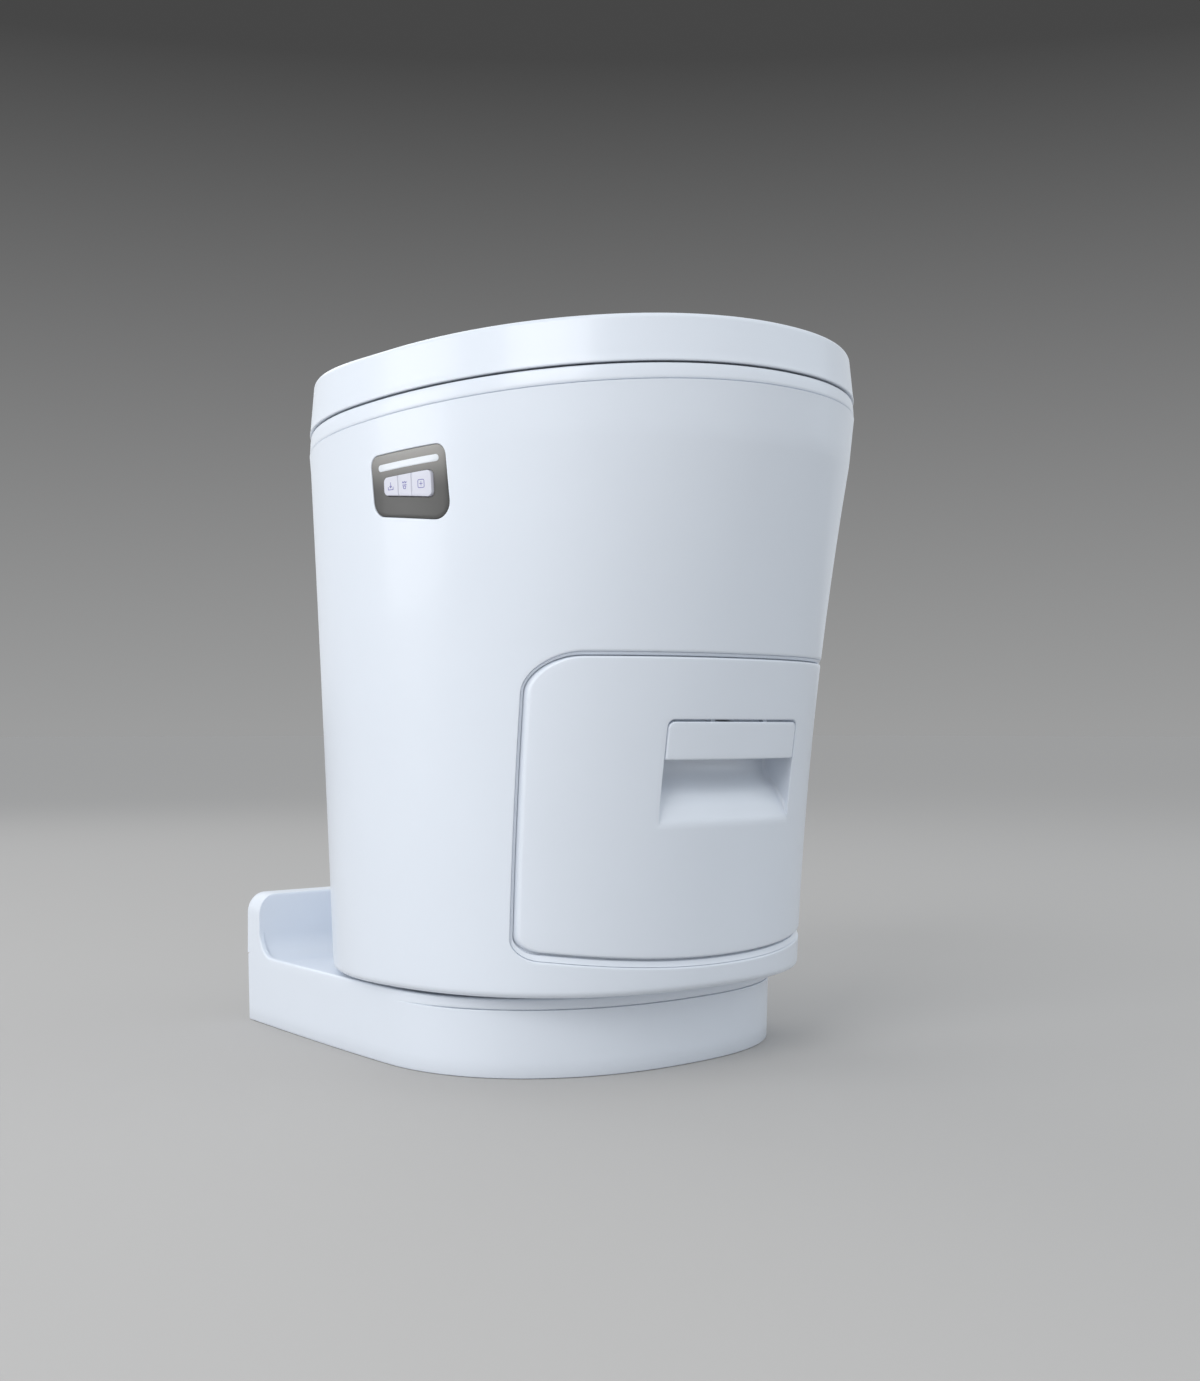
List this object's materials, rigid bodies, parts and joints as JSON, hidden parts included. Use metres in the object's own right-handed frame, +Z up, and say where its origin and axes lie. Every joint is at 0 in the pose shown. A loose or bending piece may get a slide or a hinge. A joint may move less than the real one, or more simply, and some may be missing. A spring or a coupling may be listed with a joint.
{
  "type": "waterless packing toilet on a swivel base",
  "caption": "Waterless toilet that seals waste into film: tapered white body on a swivelling floor base, lidded seat, side key panel, front waste drawer with a latch paddle.",
  "frame": {"origin": "on the swivel axis, at floor level", "axes": "+Z up, -Y towards the front of the toilet, +Y towards the upright of the base, -X the side with the key panel"},
  "size_m": [0.379, 0.4771, 0.5094],
  "materials": {
    "white_gloss": "smooth glossy moulding, cool white",
    "button_white": "satin white keys with printed icons",
    "panel_grey": "grey satin plate, lighter towards the top",
    "light_white": "milky light guide",
    "white_matte": "plain moulded plastic",
    "dark_plastic": "fine grained dark moulding",
    "motor_steel": "painted motor can",
    "film_white": "pleated film",
    "black_rubber": "matte",
    "board_green": "coated board",
    "zinc_steel": "zinc coated sheet",
    "bright_steel": "turned and ground steel",
    "jaw_aluminium": "milled bars"
  },
  "bodies": {
    "base": {"base_housing": "white_gloss", "rear_cover": "white_gloss", "rear_cover_screws": "bright_steel", "cable_inlet": "dark_plastic", "floor_plate": "zinc_steel", "slide_ring": "white_matte"},
    "toilet": {"turntable": "white_matte", "hub_nut": "bright_steel", "body_pan": "white_matte", "turntable_screws": "bright_steel", "body_shell": "white_gloss", "left_side_frame": "zinc_steel", "right_side_frame": "zinc_steel", "slide_outer_channels": "zinc_steel", "catch_magnet": "motor_steel", "magnet_bracket": "bright_steel", "seal_frame": "white_matte", "guide_rods": "bright_steel", "gear_motor": "motor_steel", "control_unit": "dark_plastic", "bowl": "white_matte", "film_cassette": "dark_plastic", "film_pack": "film_white", "cassette_cover": "dark_plastic", "deck": "white_gloss", "hinge_brackets": "white_gloss", "hinge_pins": "bright_steel", "seat_buffers": "black_rubber", "panel_plate": "panel_grey", "light_bar": "light_white", "button_board": "board_green"},
    "slide_middles": {"slide_middle_channels": "zinc_steel"},
    "drawer": {"slide_inner_rails": "zinc_steel", "drawer_tray": "white_matte", "front_panel": "white_gloss", "front_panel_screws": "bright_steel", "paddle_pin": "bright_steel"},
    "bin": {"waste_bin": "dark_plastic"},
    "paddle": {"latch_paddle": "white_gloss", "catch_plate": "bright_steel"},
    "screw": {"lead_screw": "bright_steel"},
    "jaw_front": {"front_jaw": "jaw_aluminium", "heater_strip": "black_rubber"},
    "jaw_rear": {"rear_jaw": "jaw_aluminium", "seal_pad": "black_rubber"},
    "seat_ring": {"seat": "white_gloss", "lid_buffers": "black_rubber"},
    "lid_cap": {"lid": "white_gloss"},
    "key_tray": {"tray_button": "button_white"},
    "key_pack": {"pack_button": "button_white"},
    "key_plus": {"plus_button": "button_white"}
  },
  "joints": [
    {"name": "swivel", "type": "hinge", "parent": "base", "child": "toilet", "pos_m": [0, 0, 0.0505], "axis": [0, 0, 1], "range_deg": [-90, 90]},
    {"name": "drawer_slide", "type": "slide", "parent": "toilet", "child": "drawer", "axis": [0, -1, 0], "range_m": [0, 0.24]},
    {"name": "slide_middle_slide", "type": "slide", "parent": "toilet", "child": "slide_middles", "axis": [0, -1, 0], "range_m": [0, 0.12]},
    {"name": "bin_lift", "type": "slide", "parent": "drawer", "child": "bin", "axis": [0, 0, 1], "range_m": [0, 0.018]},
    {"name": "paddle_hinge", "type": "hinge", "parent": "drawer", "child": "paddle", "pos_m": [0, -0.1835, 0.2405], "axis": [-1, 0, 0], "range_deg": [0, 15], "stiffness_Nm_per_rad": 0.3},
    {"name": "lead_screw_spin", "type": "hinge", "parent": "toilet", "child": "screw", "pos_m": [0.096, -0.03, 0.3113], "axis": [0, 1, 0], "range_deg": [0, 1872]},
    {"name": "jaw_front_slide", "type": "slide", "parent": "toilet", "child": "jaw_front", "axis": [0, 1, 0], "range_m": [0, 0.052]},
    {"name": "jaw_rear_slide", "type": "slide", "parent": "toilet", "child": "jaw_rear", "axis": [0, -1, 0], "range_m": [0, 0.052]},
    {"name": "seat_hinge", "type": "hinge", "parent": "toilet", "child": "seat_ring", "pos_m": [0, 0.1885, 0.4586], "axis": [1, 0, 0], "range_deg": [-95, 0]},
    {"name": "lid_hinge", "type": "hinge", "parent": "seat_ring", "child": "lid_cap", "pos_m": [0, 0.1885, 0.4586], "axis": [-1, 0, 0], "range_deg": [0, 95]},
    {"name": "tray_key", "type": "slide", "parent": "toilet", "child": "key_tray", "axis": [1, 0, 0], "range_m": [0, 0.0012], "stiffness_N_per_m": 400},
    {"name": "pack_key", "type": "slide", "parent": "toilet", "child": "key_pack", "axis": [1, 0, 0], "range_m": [0, 0.0012], "stiffness_N_per_m": 400},
    {"name": "plus_key", "type": "slide", "parent": "toilet", "child": "key_plus", "axis": [1, 0, 0], "range_m": [0, 0.0012], "stiffness_N_per_m": 400}
  ],
  "couplings": [
    {"joint": "slide_middle_slide", "follows": "drawer_slide", "ratio": 0.5},
    {"joint": "lead_screw_spin", "follows": "jaw_front_slide", "rad_per_m": 628.32},
    {"joint": "jaw_rear_slide", "follows": "jaw_front_slide", "ratio": 1}
  ]
}
